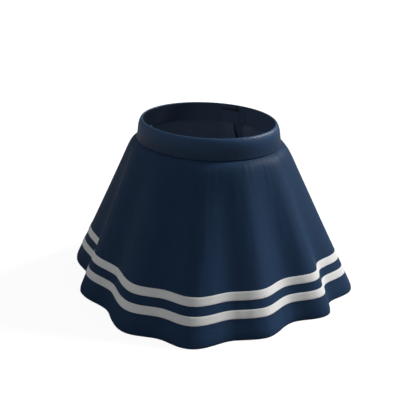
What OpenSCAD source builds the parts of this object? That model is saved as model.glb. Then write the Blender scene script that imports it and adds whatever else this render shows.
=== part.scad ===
// Flared cheer skirt: a fitted waistband, a front and two back panels with soft flutes, two rows
// of braid, a half lining, and a zip with a hook and bar at the centre back.
// Millimetres. +Z is up, the wearer faces -Y, and the wearer's left is +X.
// The origin is the middle of the hem's box, on the surface that the hem stands on.

/* [Waistband] */
// Width of the waist, side to side
waist_w = 240; // [210:1:280]
// Depth of the waist, front to back
waist_d = 200; // [170:1:230]
// Height of the waistband
band_h = 32; // [28:1:38]
// How far the waistband leans in from its seam to its top edge
band_lean = 3.7; // [2:0.1:5]

/* [Skirt] */
// Height from the hem up to the waist seam
skirt_h = 244; // [220:1:300]
// Width of the hem's oval, before its flutes
hem_w = 474; // [440:2:520]
// Depth of the hem's oval, before its flutes
hem_d = 430; // [400:2:470]
// How far the cloth stands out over the hips
hip = 3.5; // [1:0.5:5]
// How far the folded hem rolls in
hem_roll = 2.5; // [1:0.5:4]
// Thickness of the double-knit panels, measured level
cloth_t = 1.2; // [1:0.1:1.5]

/* [Stripes] */
// Height of the lower stripe above the hem
stripe_rise = 31; // [28:1:40]
// Height of one stripe
stripe_h = 12; // [8:1:14]
// Level gap between the two stripes
stripe_gap = 13; // [8:1:16]

/* [Closure] */
// Length of the zip's chain
zip_len = 130; // [100:5:140]
// Length of the zip's pull tab
pull_len = 20; // [16:1:26]

/* [Loops and labels] */
// Length of a hanger loop
loop_len = 64; // [50:1:72]
// Length of the care label
care_len = 44; // [36:1:50]

/* [Hidden] */

navy = [0.08, 0.13, 0.22];
dark_navy = [0.05, 0.08, 0.13];
braid_white = [0.88, 0.87, 0.86];
nickel = [0.62, 0.63, 0.65];

// The hem's flutes in order round the oval, from the wearer's left. Each has the angle of its
// crest, how far that reaches as a share of the oval, then the same for the valley after it.
flutes = [
    [20, 1.06, 37, 0.94], [54, 1.05, 72, 0.95], [90, 1.04, 108, 0.95], [126, 1.05, 143, 0.94],
    [160, 1.08, 174, 0.92], [196, 1.06, 221, 0.91], [233, 1.01, 251, 0.96], [269, 1.09, 281, 1.05],
    [293, 1.11, 310, 0.99], [321, 1.00, 338, 0.91], [355, 1.01, 364, 0.95]
];
turns = [for (f = flutes) each [[f[0], f[1]], [f[2], f[3]]]];
n_turns = len(turns);
turn_order = [for (i = [0:n_turns]) [i < n_turns ? turns[i][0] : turns[0][0] + 360, i]];

waist_a = waist_w / 2;
waist_b = waist_d / 2;
hem_a = hem_w / 2;
hem_b = hem_d / 2;

// The panels run straight up to this share of the way from the waist oval to the hem oval.
waist_share = 0.05;
shoulder = 5;          // how soon the cloth turns out below the band
seam_in = 0.5;         // the panels tuck in under the waistband
allowance = 9;         // seam allowance of the panels, up inside the band
seam_gap = 0.2;        // half the gap at a seam
inside_gap = 0.3;      // between one layer of cloth and the next

// Layers, measured level from the panels' outer face. A minus is inwards.
braid_out = 1.0;
facing_t = 0.6;
facing_h = 24;
elastic_in = -1.5;
elastic_t = 1.6;
lining_in = -3.3;
lining_t = 0.5;
lining_ease = 2.7;     // how much further in the lining hangs below the band
lining_share = 0.86;   // the lining ends at this share of the way to the hem
lining_flat = 0.25;    // the lining's flutes are this share of the panels'
valley_reach = 0.90;

// Columns round the skirt
step_panel = 3.6;
step_band = 5;
step_lining = 7.5;

// The zip, in its own frame: Z up the chain, Y out of the cloth.
zip_gap = 9.6;         // between the folded edges of the back panels
zip_top = 3;           // the chain starts this far below the waist seam
zip_in = 1.75;         // the chain's middle, level in from the cloth's face
tape_w = 13;
tape_t = 0.5;
tooth_w = 1.95;
tooth_t = 2.2;
tooth_pitch = 2.8;
row_gap = 0.9;         // between the two rows of teeth, where the slider's wedge runs
stop_h = 1.6;
slider_h = 10;
slider_w = 8.4;
plate_t = 0.8;
plate_gap = 0.2;       // between a plate of the slider and the teeth
pin_r = 0.6;
pull_w = 5.6;
pull_t = 1.0;
eye_w = 3.2;           // the pull's eye, between the slider's posts
eye_play = 0.25;
pin_drop = 3.2;        // the pull's pin below the slider's top edge
pin_out = 1.45;        // the pin above the slider's upper plate
post_w = 0.9;          // the posts that hold the pin

function mix(a, b, s) = a + (b - a) * s;
function ease(s) = (1 - cos(180 * min(max(s, 0), 1))) / 2;
function low(v) = min(v);
function high(v) = max(v);

// The hem's reach at an angle: it eases from each turn of the flutes to the next.
function wrapped(a) = a < turns[0][0] ? a + 360 : a > turns[0][0] + 360 ? a - 360 : a;
function reach(a) =
    let (p = lookup(wrapped(a), turn_order), i = floor(p))
    mix(turns[i % n_turns][1], turns[(i + 1) % n_turns][1], ease(p - i));

// 1 near the centre back, where the zip keeps the cloth straight, and 0 away from it.
function near_zip(a) = 1 - ease((abs(a - 90) - 8) / 16);

// A half-axis of the cloth's outer face, u of the way from the waist seam to the hem.
// Above the seam, where u is below 0, it follows the waistband.
function half_axis(a, u, waist, hem, flute) =
    let (
        start = waist - seam_in,
        t = mix(waist_share, 1, u),
        ruled = mix(waist, hem * flute, t) + hip * pow(1 - u, 2),
        tuck = start - mix(waist, hem * flute, waist_share) - hip,
        rounded = ruled + tuck * exp(-u * skirt_h / shoulder),
        straight = mix(start, hem * flute, u)
    )
    u <= 0 ? start + band_lean * u * skirt_h / band_h : mix(rounded, straight, near_zip(a));

// A folded hem turns in over its last few millimetres.
function roll(u) = -hem_roll * pow(max(0, (u - 0.95) / 0.05), 2);

// The box of the hem, whose middle is the origin.
hem_x = [for (a = [0:1:359]) hem_a * reach(a) * cos(a)];
hem_y = [for (a = [0:1:359]) hem_b * reach(a) * sin(a)];
middle = [(low(hem_x) + high(hem_x)) / 2, (low(hem_y) + high(hem_y)) / 2];

function skin(a, u, off, flat = 1, base = 0) =
    let (
        flute = mix(base, reach(a), flat),
        x = half_axis(a, u, waist_a, hem_a, flute) + off,
        y = half_axis(a, u, waist_b, hem_b, flute) + off
    )
    [x * cos(a) - middle[0], y * sin(a) - middle[1], skirt_h * (1 - u)];

// A point on the waistband: h above the waist seam, off outwards from the waist oval.
function band(a, h, off) =
    let (lean = band_lean * h / band_h)
    [
        (waist_a + off - lean) * cos(a) - middle[0],
        (waist_b + off - lean) * sin(a) - middle[1],
        skirt_h + h
    ];

// The angle at which the cloth passes x, seen from above, at the centre back.
function angle_at(u, x) = acos(x / half_axis(90, u, waist_a, hem_a, reach(90)));

// A closed solid between two grids of points, given as rows from the top down.
module slab(outer, inner) {
    rows = len(outer);
    cols = len(outer[0]);
    count = rows * cols;
    function at(r, c, side) = side * count + r * cols + c;
    function quad(p, q, r, s) = [[p, q, r], [p, r, s]];
    faces = [
        for (r = [0:rows - 2], c = [0:cols - 2]) each concat(
            quad(at(r, c, 0), at(r, c + 1, 0), at(r + 1, c + 1, 0), at(r + 1, c, 0)),
            quad(at(r, c, 1), at(r + 1, c, 1), at(r + 1, c + 1, 1), at(r, c + 1, 1))
        ),
        for (c = [0:cols - 2]) each concat(
            quad(at(0, c, 1), at(0, c + 1, 1), at(0, c + 1, 0), at(0, c, 0)),
            quad(at(rows - 1, c, 0), at(rows - 1, c + 1, 0), at(rows - 1, c + 1, 1), at(rows - 1, c, 1))
        ),
        for (r = [0:rows - 2]) each concat(
            quad(at(r, 0, 0), at(r + 1, 0, 0), at(r + 1, 0, 1), at(r, 0, 1)),
            quad(at(r, cols - 1, 1), at(r + 1, cols - 1, 1), at(r + 1, cols - 1, 0), at(r, cols - 1, 0))
        )
    ];
    polyhedron(points = concat([for (r = outer) each r], [for (r = inner) each r]), faces = faces);
}

// A layer of cloth on the skirt: levels lists u, the outer and the inner offset, and the gap that
// a back panel leaves at the centre back. The angles run from first to last.
module layer(levels, first, last, step, flat = 1, base = 0) {
    n = round((last - first) / step);
    function from(u, x) = first == 90 ? 180 - angle_at(u, x) : first;
    function to(u, x) = last == 90 ? angle_at(u, x) : last;
    function column(l, i) = mix(
        from(l[0], l[3]) + (first == 90 ? 0 : seam_gap / 4),
        to(l[0], l[3]) - (last == 90 ? 0 : seam_gap / 4),
        i / n
    );
    outer = [for (l = levels) [for (i = [0:n]) skin(column(l, i), l[0], l[1], flat, base)]];
    inner = [for (l = levels) [for (i = [0:n]) skin(column(l, i), l[0], l[2], flat, base)]];
    slab(inner, outer);
}

// Where each piece of a layer starts and ends
front_span = [180, 360];
left_span = [0, 90];
right_span = [90, 180];

// Panels

zip_end = (zip_top + zip_len + 8) * cos(atan((hem_b * reach(90) - waist_b) / skirt_h)) / skirt_h;
panel_levels = [
    for (u = [-allowance / skirt_h, 0, 0.01, 0.025, 0.05, 0.1, 0.2, 0.38])
        [u, 0, -cloth_t, zip_gap / 2],
    [zip_end - 0.004, 0, -cloth_t, zip_gap / 2],
    [zip_end, 0, -cloth_t, seam_gap],
    for (u = [0.68, 0.8, 0.95, 0.98, 1]) [u, roll(u), roll(u) - cloth_t, seam_gap]
];
module panel(span) {
    color(navy) layer(panel_levels, span[0], span[1], step_panel);
}
module front_panel() { panel(front_span); }
module back_panel_left() { panel(left_span); }
module back_panel_right() { panel(right_span); }

// Stripes of braid

module stripe(rise, span) {
    levels = [for (z = [rise + stripe_h, rise]) [1 - z / skirt_h, braid_out, inside_gap, seam_gap]];
    color(braid_white) layer(levels, span[0], span[1], step_panel);
}
upper_rise = stripe_rise + stripe_h + stripe_gap;
module upper_stripe_front() { stripe(upper_rise, front_span); }
module upper_stripe_back_left() { stripe(upper_rise, left_span); }
module upper_stripe_back_right() { stripe(upper_rise, right_span); }
module lower_stripe_front() { stripe(stripe_rise, front_span); }
module lower_stripe_back_left() { stripe(stripe_rise, left_span); }
module lower_stripe_back_right() { stripe(stripe_rise, right_span); }

// Hem facing, sewn inside the hem

module hem_facing(span) {
    inner = -cloth_t - inside_gap;
    levels = [
        for (u = [1 - facing_h / skirt_h, 0.95, 0.98, 0.995])
            [u, roll(u) + inner, roll(u) + inner - facing_t, seam_gap]
    ];
    color(dark_navy) layer(levels, span[0], span[1], step_panel);
}
module hem_facing_front() { hem_facing(front_span); }
module hem_facing_back_left() { hem_facing(left_span); }
module hem_facing_back_right() { hem_facing(right_span); }

// Half lining, slit over the zip

lining_slit = 9;
module lining(span) {
    function hang(u) = lining_in - lining_ease * ease(u / 0.06);
    slit_end = zip_end + 0.02;
    levels = [
        for (u = [-allowance / skirt_h, 0, 0.02, 0.06, 0.3, slit_end - 0.004])
            [u, hang(u), hang(u) - lining_t, lining_slit],
        for (u = [slit_end, lining_share]) [u, hang(u), hang(u) - lining_t, seam_gap]
    ];
    color(dark_navy) layer(levels, span[0], span[1], step_lining, lining_flat, valley_reach);
}
module lining_front() { lining(front_span); }
module lining_back_left() { lining(left_span); }
module lining_back_right() { lining(right_span); }

// Waistband: one strip folded over the elastic, with its ends meeting at the centre back

band_skin = [  // outer and inner face of the strip as [offset, height], from the outside over the top
    [[1.4, 0], [0.4, 0]], [[1.2, 3], [0.2, 3]], [[0.8, 6], [-0.15, 6]], [[0.55, 10.5], [-0.4, 10.5]],
    [[0.57, 15.8], [-0.4, 15.8]], [[0.35, 20.8], [-0.6, 20.6]], [[-0.3, 25.2], [-1.2, 24.8]],
    [[-1.45, 28.8], [-2.3, 28.2]], [[-2.9, 31.2], [-3.4, 30.2]], [[-4.1, 32], [-4.05, 30.8]],
    [[-5.1, 31.4], [-4.35, 30.4]], [[-5.6, 29.6], [-4.65, 29.2]], [[-5.7, 26], [-4.7, 26]],
    [[-5.65, 21], [-4.65, 21]], [[-5.6, 16], [-4.6, 16]], [[-5.6, 0], [-4.6, 0]]
];
skin_top = 32;         // height of the strip's profile, which is scaled to the waistband
band_end = 0.2;        // angle from the centre back to each end
function round_band(off, h) = [for (i = [0:72]) band(mix(90 + band_end, 450 - band_end, i / 72), h, off)];
module waistband() {
    function face_rows(side) = [for (p = band_skin) round_band(p[side][0], p[side][1] * band_h / skin_top)];
    color(navy) slab(face_rows(0), face_rows(1));
}
module waistband_elastic() {
    outer = elastic_in - seam_in;
    heights = [band_h - 9.5, 1.5];
    color([0.9, 0.9, 0.88]) slab(
        [for (h = heights) round_band(outer - elastic_t, h)],
        [for (h = heights) round_band(outer, h)]
    );
}

// The underlap is sewn to the left end of the band and passes behind the right end.
band_inner = -5.6;
underlap_in = -8.5;    // behind the hook and bar
underlap_t = 1.2;
underlap_x = [16, -30];
module waistband_underlap() {
    n = 12;
    function x(i) = mix(underlap_x[0], underlap_x[1], i / n);
    function off(i) = mix(band_inner - 0.2, underlap_in, ease((10 - x(i)) / 8));
    function angle(i) = acos(x(i) / waist_a);
    function row(h, t) = [for (i = [0:n]) band(angle(i), h, off(i) - t)];
    color(dark_navy) slab(
        [for (h = [band_h - 9, 1]) row(h, underlap_t)],
        [for (h = [band_h - 9, 1]) row(h, 0)]
    );
}

// Zip

zip_lean = atan((hem_b * reach(90) - waist_b + seam_in) / skirt_h);
function back_face(z) = mix(waist_b - seam_in, hem_b * reach(90), 1 - z / skirt_h) - middle[1];
zip_origin = [-middle[0], back_face(skirt_h - zip_top) - zip_in, skirt_h - zip_top];
module in_zip_frame() {
    translate(zip_origin) rotate([zip_lean, 0, 0]) children();
}
module on_side(side) {
    mirror([side > 0 ? 0 : 1, 0, 0]) children();
}

module zip_tape(side) {
    xs = [row_gap / 2 + tooth_w + 0.05, 5, 7, 9, 11, tape_w];
    us = [0.005, 0.1, 0.2, 0.3, 0.4, 0.5, zip_end + 0.02];
    function angle(u, x) = side > 0 ? angle_at(u, x) : 180 - angle_at(u, x);
    function row(u, off) = [for (x = side > 0 ? xs : [for (i = [len(xs) - 1:-1:0]) xs[i]])
        skin(angle(u, x), u, off)];
    mid = -zip_in;
    color(dark_navy) slab(
        [for (u = us) row(u, mid + tape_t / 2)],
        [for (u = us) row(u, mid - tape_t / 2)]
    );
}
module zip_tape_left() { zip_tape(1); }
module zip_tape_right() { zip_tape(-1); }

// A strip behind the chain, sewn into the waist seam, which keeps the chain off the skin
guard_w = 16;
guard_in = 4.5;        // behind the slider
guard_t = 0.8;
module zip_guard() {
    xs = [for (i = [-4:4]) i * guard_w / 8];
    us = [-0.004, 0.003, 0.009, 0.014, 0.15, 0.3, 0.45, zip_end + 0.012];
    function off(u) = -mix(3.1, guard_in, ease(u / 0.014));
    function row(u, t) = [for (x = xs) skin(angle_at(u, x), u, off(u) - t)];
    color(dark_navy) slab([for (u = us) row(u, 0)], [for (u = us) row(u, guard_t)]);
}

tooth_h = tooth_pitch / 2 - 0.1;
tooth_count = floor((zip_len - stop_h - 1) / tooth_pitch);
module zip_teeth(side) {
    first = -stop_h - 0.4 - (side > 0 ? 0 : tooth_pitch / 2);
    color(dark_navy) in_zip_frame() for (i = [0:tooth_count - 1])
        translate([side > 0 ? row_gap / 2 : -row_gap / 2 - tooth_w, -tooth_t / 2, first - tooth_h - i * tooth_pitch])
            cube([tooth_w, tooth_t, tooth_h]);
}
module zip_teeth_left() { zip_teeth(1); }
module zip_teeth_right() { zip_teeth(-1); }

module zip_top_stops() {
    color(nickel) in_zip_frame() for (side = [0, 1])
        mirror([side, 0, 0]) translate([row_gap / 2, -tooth_t / 2 - 0.2, -stop_h])
            cube([tooth_w, tooth_t + 0.4, stop_h]);
}
module zip_bottom_stop() {
    w = 2 * tooth_w + row_gap;
    color(nickel) in_zip_frame()
        translate([-w / 2, -tooth_t / 2 - 0.3, -zip_len - 3.4]) cube([w, tooth_t + 0.6, 3]);
}

// The slider's plates stand either side of the chain, joined by the wedge between the rows.
slider_top = -stop_h - 0.5;
plate_in = tooth_t / 2 + plate_gap;
pin_z = slider_top - pin_drop;
pin_y = plate_in + plate_t + pin_out;
slider_outline = [
    [-slider_w / 2 + 0.4, 0], [slider_w / 2 - 0.4, 0], [slider_w / 2, -1.2], [slider_w / 2, -4],
    [3.4, -slider_h], [-3.4, -slider_h], [-slider_w / 2, -4], [-slider_w / 2, -1.2]
];
module slider_plate(y, t) {
    translate([0, y + t, slider_top]) rotate([90, 0, 0]) linear_extrude(t) polygon(slider_outline);
}
module zip_slider() {
    flange = 0.6;
    slot = 0.9;
    wedge_w = row_gap - 0.2;
    wedge_h = 3.2;
    bite = 0.1;        // how far one part of the slider runs into the next
    post_x = eye_w / 2 + eye_play;
    pin_l = 2 * (post_x + post_w) - bite;
    color(nickel) in_zip_frame() {
        slider_plate(plate_in, plate_t);
        slider_plate(-plate_in - plate_t, plate_t);
        translate([-wedge_w / 2, -plate_in - bite, slider_top - wedge_h])
            cube([wedge_w, 2 * (plate_in + bite), wedge_h]);
        for (side = [1, -1]) on_side(side) {
            for (y = [slot / 2, -plate_in - bite])
                translate([slider_w / 2 - flange, y, slider_top - 4])
                    cube([flange, plate_in + bite - slot / 2, 2.8]);
            translate([post_x, plate_in + plate_t - bite, pin_z - 0.9])
                cube([post_w, pin_out + 0.8 + bite, 1.8]);
        }
        translate([-pin_l / 2, pin_y, pin_z]) rotate([0, 90, 0])
            cylinder(r = pin_r, h = pin_l, $fn = 32);
    }
}

// The pull's eye turns on the slider's pin, and its tab hangs down over the chain.
module zip_pull() {
    eye_r = 1.15;
    bore_r = pin_r + 0.06;
    neck = 4;
    end_z = pull_w / 2 - pull_len;
    color(nickel) in_zip_frame() translate([0, pin_y, pin_z]) difference() {
        union() {
            translate([-eye_w / 2, 0, 0]) rotate([0, 90, 0]) cylinder(r = eye_r, h = eye_w, $fn = 32);
            translate([-eye_w / 2, -pull_t / 2, -neck]) cube([eye_w, pull_t, neck]);
            translate([-pull_w / 2, -pull_t / 2, end_z]) cube([pull_w, pull_t, -neck - end_z]);
            translate([0, pull_t / 2, end_z]) rotate([90, 0, 0])
                cylinder(r = pull_w / 2, h = pull_t, $fn = 48);
        }
        translate([-pull_w, 0, 0]) rotate([0, 90, 0]) cylinder(r = bore_r, h = 2 * pull_w, $fn = 32);
        translate([0, pull_t, end_z]) rotate([90, 0, 0]) cylinder(r = 1.4, h = 2 * pull_t, $fn = 32);
    }
}

// Hook and bar, half way up the band behind the centre back. In their own frame, Y is 0 on the
// band's inner face at the centre back.

hook_h = 8;
hook_x = [-13, -3];
metal_t = 0.5;
plate_y = -0.7;        // the hook's plate lies on the curved band
hook_room = 1.0;       // between the hook's plate and its tongue, where the bar runs
bar_t = 0.6;
bar_w = 1.2;
bar_foot = 1.0;
module in_hook_frame() {
    translate([-middle[0], waist_b + band_inner - band_lean / 2 - middle[1], skirt_h + band_h / 2])
        rotate([atan(band_lean / band_h), 0, 0]) children();
}
module waist_hook() {
    tongue_y = plate_y - metal_t - hook_room;
    color(nickel) in_hook_frame() translate([0, 0, -hook_h / 2]) linear_extrude(hook_h) polygon([
        [hook_x[0], plate_y], [hook_x[0], plate_y - metal_t],
        [hook_x[1] - metal_t, plate_y - metal_t], [hook_x[1] - metal_t, tongue_y],
        [hook_x[0] + 4, tongue_y], [hook_x[0] + 4, tongue_y - metal_t],
        [hook_x[1], tongue_y - metal_t], [hook_x[1], plate_y]
    ]);
}
module waist_bar() {
    foot_z = hook_h / 2 + 0.6;
    x = hook_x[1] - metal_t - 0.2 - bar_w;
    y = plate_y - metal_t - (hook_room + bar_t) / 2;
    underlap_y = underlap_in - band_inner;
    color(nickel) in_hook_frame() {
        translate([x, y, -foot_z - bar_foot]) cube([bar_w, bar_t, 2 * (foot_z + bar_foot)]);
        for (z = [foot_z, -foot_z - bar_foot])
            translate([x, underlap_y + 0.1, z]) cube([bar_w, y - underlap_y, bar_foot]);
    }
}

// Hanger loops: a ribbon folded in two, sewn inside the band at each side

loop_w = 6;
loop_rise = 3;         // the sewn end above the waist seam
loop_in = -6.6;        // its hinge line, inside the band
function loop_x(side) = side * (waist_a + loop_in - band_lean * loop_rise / band_h) - middle[0];
loop_fat = 2.6;        // how thick the folded ribbon lies at its loose end
ribbon_t = 0.35;
module hanger_loop(side) {
    end = -loop_len + 5;
    outline = [
        [-0.3, 0.3], [0.6, 0.3], [loop_fat, end], [loop_fat - 0.4, end - 3.5], [loop_fat / 2, end - 5],
        [0.5, end - 4.4], [-0.1, end - 1]
    ];
    translate([loop_x(side), loop_w / 2 - middle[1], skirt_h + loop_rise])
        on_side(-side) rotate([90, 0, 0]) linear_extrude(loop_w) difference() {
            polygon(outline);
            intersection() {
                offset(delta = -ribbon_t) polygon(outline);
                translate([-loop_fat, -2 * loop_len]) square([3 * loop_fat, 2 * loop_len - 3]);
            }
        }
}
module hanger_loop_left() { color(dark_navy) hanger_loop(1); }
module hanger_loop_right() { color(dark_navy) hanger_loop(-1); }

// Labels: plain woven tabs with no print, sewn inside the band at the left

label_angle = 20;
label_rise = 3;        // the sewn end above the waist seam
label_in = -6.4;
label_t = 0.5;
module label(w, drop, in) {
    tangent = atan2(waist_b * cos(label_angle), -waist_a * sin(label_angle));
    color([0.92, 0.92, 0.9]) translate(band(label_angle, label_rise, label_in))
        rotate([0, 0, tangent]) translate([-w / 2, in, -drop]) cube([w, label_t, drop]);
}
module care_label() { label(24, care_len, 0.5); }
module size_label() { label(14, 17, 1.3); }

front_panel();
back_panel_left();
back_panel_right();
waistband();
waistband_elastic();
waistband_underlap();
upper_stripe_front();
upper_stripe_back_left();
upper_stripe_back_right();
lower_stripe_front();
lower_stripe_back_left();
lower_stripe_back_right();
hem_facing_front();
hem_facing_back_left();
hem_facing_back_right();
lining_front();
lining_back_left();
lining_back_right();
zip_tape_left();
zip_tape_right();
zip_teeth_left();
zip_teeth_right();
zip_top_stops();
zip_bottom_stop();
zip_slider();
zip_pull();
zip_guard();
waist_hook();
waist_bar();
hanger_loop_left();
hanger_loop_right();
care_label();
size_label();
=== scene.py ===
"""The looks of a flared cheer skirt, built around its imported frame.

Lengths are in millimetres until a mesh is made. The formulas for the cloth repeat the CAD part's, so that each piece
lies where its CAD solid does. An angle a goes round the skirt from the wearer's left, and 90 is the centre back. A
share u goes down the cloth from 0 at the waist seam to 1 at the hem."""
import math
import bpy
import numpy as np
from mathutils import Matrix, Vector


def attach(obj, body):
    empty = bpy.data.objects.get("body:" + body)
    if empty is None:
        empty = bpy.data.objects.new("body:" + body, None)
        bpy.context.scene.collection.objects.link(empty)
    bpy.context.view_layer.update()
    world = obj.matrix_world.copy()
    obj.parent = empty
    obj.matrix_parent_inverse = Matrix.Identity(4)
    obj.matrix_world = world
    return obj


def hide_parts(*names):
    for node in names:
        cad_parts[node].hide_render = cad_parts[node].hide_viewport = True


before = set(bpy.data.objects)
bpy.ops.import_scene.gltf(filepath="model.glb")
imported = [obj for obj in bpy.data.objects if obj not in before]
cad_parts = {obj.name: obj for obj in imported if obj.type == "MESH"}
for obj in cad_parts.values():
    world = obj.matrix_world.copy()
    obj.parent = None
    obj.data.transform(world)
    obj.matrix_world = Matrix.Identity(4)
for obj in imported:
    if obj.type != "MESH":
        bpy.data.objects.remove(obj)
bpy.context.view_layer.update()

MM = 0.001
SKIRT = "skirt"

# Sizes of the skirt, as in the CAD part
WAIST = (120.0, 100.0)
HEM = (237.0, 215.0)
SKIRT_H = 244.0
BAND_H = 32.0
BAND_LEAN = 3.7
HIP = 3.5
WAIST_SHARE = 0.05
SHOULDER = 5.0
SEAM_IN = 0.5
HEM_ROLL = 2.5
ALLOWANCE = 9.0
STRIPE_RISE, STRIPE_H, STRIPE_GAP = 31.0, 12.0, 13.0
LINING_IN, LINING_EASE, LINING_SHARE, LINING_FLAT = -3.3, 2.7, 0.86, 0.25
VALLEY_REACH = 0.90
LINING_SLIT = 9.0
ZIP_EDGE = 4.8
ZIP_TOP, ZIP_LEN, ZIP_IN = 3.0, 130.0, 1.75
TAPE_W = 13.0
STOP_H = 1.6
LOOP_W, LOOP_IN, LOOP_RISE = 6.0, -6.6, 3.0
LABEL_ANGLE, LABEL_RISE, LABEL_IN = 20.0, 3.0, -6.4
CARE_LABEL, SIZE_LABEL = (24.0, 44.0, 0.5), (14.0, 17.0, 1.3)

# Crest angle and reach, then valley angle and reach, of each flute in the hem
FLUTES = [
    (20, 1.06, 37, 0.94), (54, 1.05, 72, 0.95), (90, 1.04, 108, 0.95), (126, 1.05, 143, 0.94),
    (160, 1.08, 174, 0.92), (196, 1.06, 221, 0.91), (233, 1.01, 251, 0.96), (269, 1.09, 281, 1.05),
    (293, 1.11, 310, 0.99), (321, 1.00, 338, 0.91), (355, 1.01, 364, 0.95),
]
TURNS = [turn for f in FLUTES for turn in (f[:2], f[2:])]
TURN_ANGLES = np.array([t[0] for t in TURNS] + [TURNS[0][0] + 360.0])
TURN_REACHES = np.array([t[1] for t in TURNS] + [TURNS[0][1]])

FRONT, LEFT, RIGHT = (180.0, 360.0), (0.0, 90.0), (90.0, 180.0)
STRETCHES = {"front": FRONT, "back_left": LEFT, "back_right": RIGHT}


# The shape of the cloth

def mix(a, b, s):
    return a + (b - a) * s


def ease(s):
    return (1 - np.cos(np.pi * np.clip(s, 0, 1))) / 2


def cosd(a):
    return np.cos(np.radians(a))


def sind(a):
    return np.sin(np.radians(a))


def reach(a):
    """The hem's reach at an angle, which eases from each turn of the flutes to the next."""
    a = (a - TURN_ANGLES[0]) % 360 + TURN_ANGLES[0]
    i = np.clip(np.searchsorted(TURN_ANGLES, a, side="right") - 1, 0, len(TURNS) - 1)
    along = (a - TURN_ANGLES[i]) / (TURN_ANGLES[i + 1] - TURN_ANGLES[i])
    return mix(TURN_REACHES[i], TURN_REACHES[i + 1], ease(along))


def near_zip(a):
    """1 beside the zip, where the cloth is straight, and 0 from 24 degrees away."""
    return 1 - ease((np.abs(a - 90) - 8) / 16)


def half_axis(a, u, waist, hem, flute):
    """How far out the cloth's face is along one axis of its oval, from the waist's and the hem's half axes."""
    start = waist - SEAM_IN
    ruled = mix(waist, hem * flute, mix(WAIST_SHARE, 1, u)) + HIP * (1 - u) ** 2
    tuck = start - mix(waist, hem * flute, WAIST_SHARE) - HIP
    rounded = ruled + tuck * np.exp(-np.maximum(u, 0) * SKIRT_H / SHOULDER)
    straight = mix(start, hem * flute, u)
    above = start + BAND_LEAN * u * SKIRT_H / BAND_H
    return np.where(u <= 0, above, mix(rounded, straight, near_zip(a)))


def roll(u):
    """The hem's turn inwards, over its last twentieth."""
    return -HEM_ROLL * np.maximum(0, (u - 0.95) / 0.05) ** 2


HEM_ROUND = np.arange(0, 360, 1.0)
HEM_X = HEM[0] * reach(HEM_ROUND) * cosd(HEM_ROUND)
HEM_Y = HEM[1] * reach(HEM_ROUND) * sind(HEM_ROUND)
MIDDLE = np.array([(HEM_X.min() + HEM_X.max()) / 2, (HEM_Y.min() + HEM_Y.max()) / 2, 0])


def skin(a, u, off=0.0, flat=1.0, base=0.0):
    """Points on the cloth, off outwards from its outer face."""
    a, u, off = np.broadcast_arrays(np.asarray(a, float), np.asarray(u, float), np.asarray(off, float))
    flute = mix(base, reach(a), flat)
    x = (half_axis(a, u, WAIST[0], HEM[0], flute) + off) * cosd(a)
    y = (half_axis(a, u, WAIST[1], HEM[1], flute) + off) * sind(a)
    return np.stack([x, y, SKIRT_H * (1 - u)], -1) - MIDDLE


def band_point(a, h, off):
    """A point on the waistband: h above the waist seam, off outwards from the waist oval."""
    a, h, off = np.broadcast_arrays(np.asarray(a, float), np.asarray(h, float), np.asarray(off, float))
    out = off - BAND_LEAN * h / BAND_H
    x, y = (WAIST[0] + out) * cosd(a), (WAIST[1] + out) * sind(a)
    return np.stack([x, y, SKIRT_H + h], -1) - MIDDLE


def angle_at(u, x):
    """The angle at which the cloth passes x at the centre back."""
    return np.degrees(np.arccos(x / half_axis(90.0, u, WAIST[0], HEM[0], reach(90.0))))


ZIP_SLOPE = math.atan((HEM[1] * reach(90.0) - WAIST[1] + SEAM_IN) / SKIRT_H)
ZIP_END = (ZIP_TOP + ZIP_LEN + 8) * math.cos(ZIP_SLOPE) / SKIRT_H


# Soft relief of the cloth, as sums of waves that close round the skirt

def waves(seed, turns, tall, size, count=14):
    """Waves round the skirt: turns is the range of waves per turn, tall the range of waves down the cloth."""
    rng = np.random.default_rng(seed)
    around = rng.integers(turns[0], turns[1], count)
    down = rng.uniform(tall[0], tall[1], count)
    phase = rng.uniform(0, 2 * np.pi, count)
    share = size / math.sqrt(count / 2)

    def at(a, u):
        total = np.zeros(np.broadcast(a, u).shape)
        for n, d, p in zip(around, down, phase):
            total = total + np.sin(np.radians(a) * n + 2 * np.pi * d * u + p)
        return total * share
    return at


soft_folds = waves(3, (9, 26), (-0.5, 0.5), 0.45)
fine_folds = waves(5, (40, 95), (-2.5, 2.5), 0.07)
waist_puckers = waves(7, (45, 95), (-3, 3), 0.08)
lining_folds = waves(11, (14, 44), (-0.6, 0.6), 0.9)
band_puckers = waves(13, (50, 120), (-1, 1), 0.16)


def relief(a, u):
    """How far the panels' face stands off its formula."""
    below = np.maximum(u, 0)
    grown = 0.12 + 0.88 * below
    held = 1 - np.exp(-below * SKIRT_H / 6)
    pucker = np.exp(-below * SKIRT_H / 10)
    return held * (soft_folds(a, u) * grown + fine_folds(a, u)) + pucker * held * waist_puckers(a, u)


def out_of_cloth(a, u):
    """The cloth's outward normal."""
    du = skin(a, u + 0.002) - skin(a, u - 0.002)
    da = skin(a + 0.05, u) - skin(a - 0.05, u)
    n = np.cross(du, da)
    return n / np.linalg.norm(n, axis=-1, keepdims=True)


def face(a, u, lift=0.0):
    """Points on the panels' outer face with its relief, lifted along the normal."""
    a, u, lift = np.broadcast_arrays(np.asarray(a, float), np.asarray(u, float), np.asarray(lift, float))
    return skin(a, u, roll(u)) + out_of_cloth(a, u) * (relief(a, u) + lift)[..., None]


# Columns of a piece: close together at its seams, even between them

OUTER_COLUMNS = {FRONT: 150, LEFT: 74, RIGHT: 74}
INNER_COLUMNS = {FRONT: 120, LEFT: 60, RIGHT: 60}
SEAM_EDGE = 0.03
SEAM_STEPS = np.array([0.0, 0.5, 1.1, 1.9, 3.0, 4.6])


def per_degree(a, u):
    return np.linalg.norm(skin(a + 0.5, u) - skin(a - 0.5, u), axis=-1)


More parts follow.
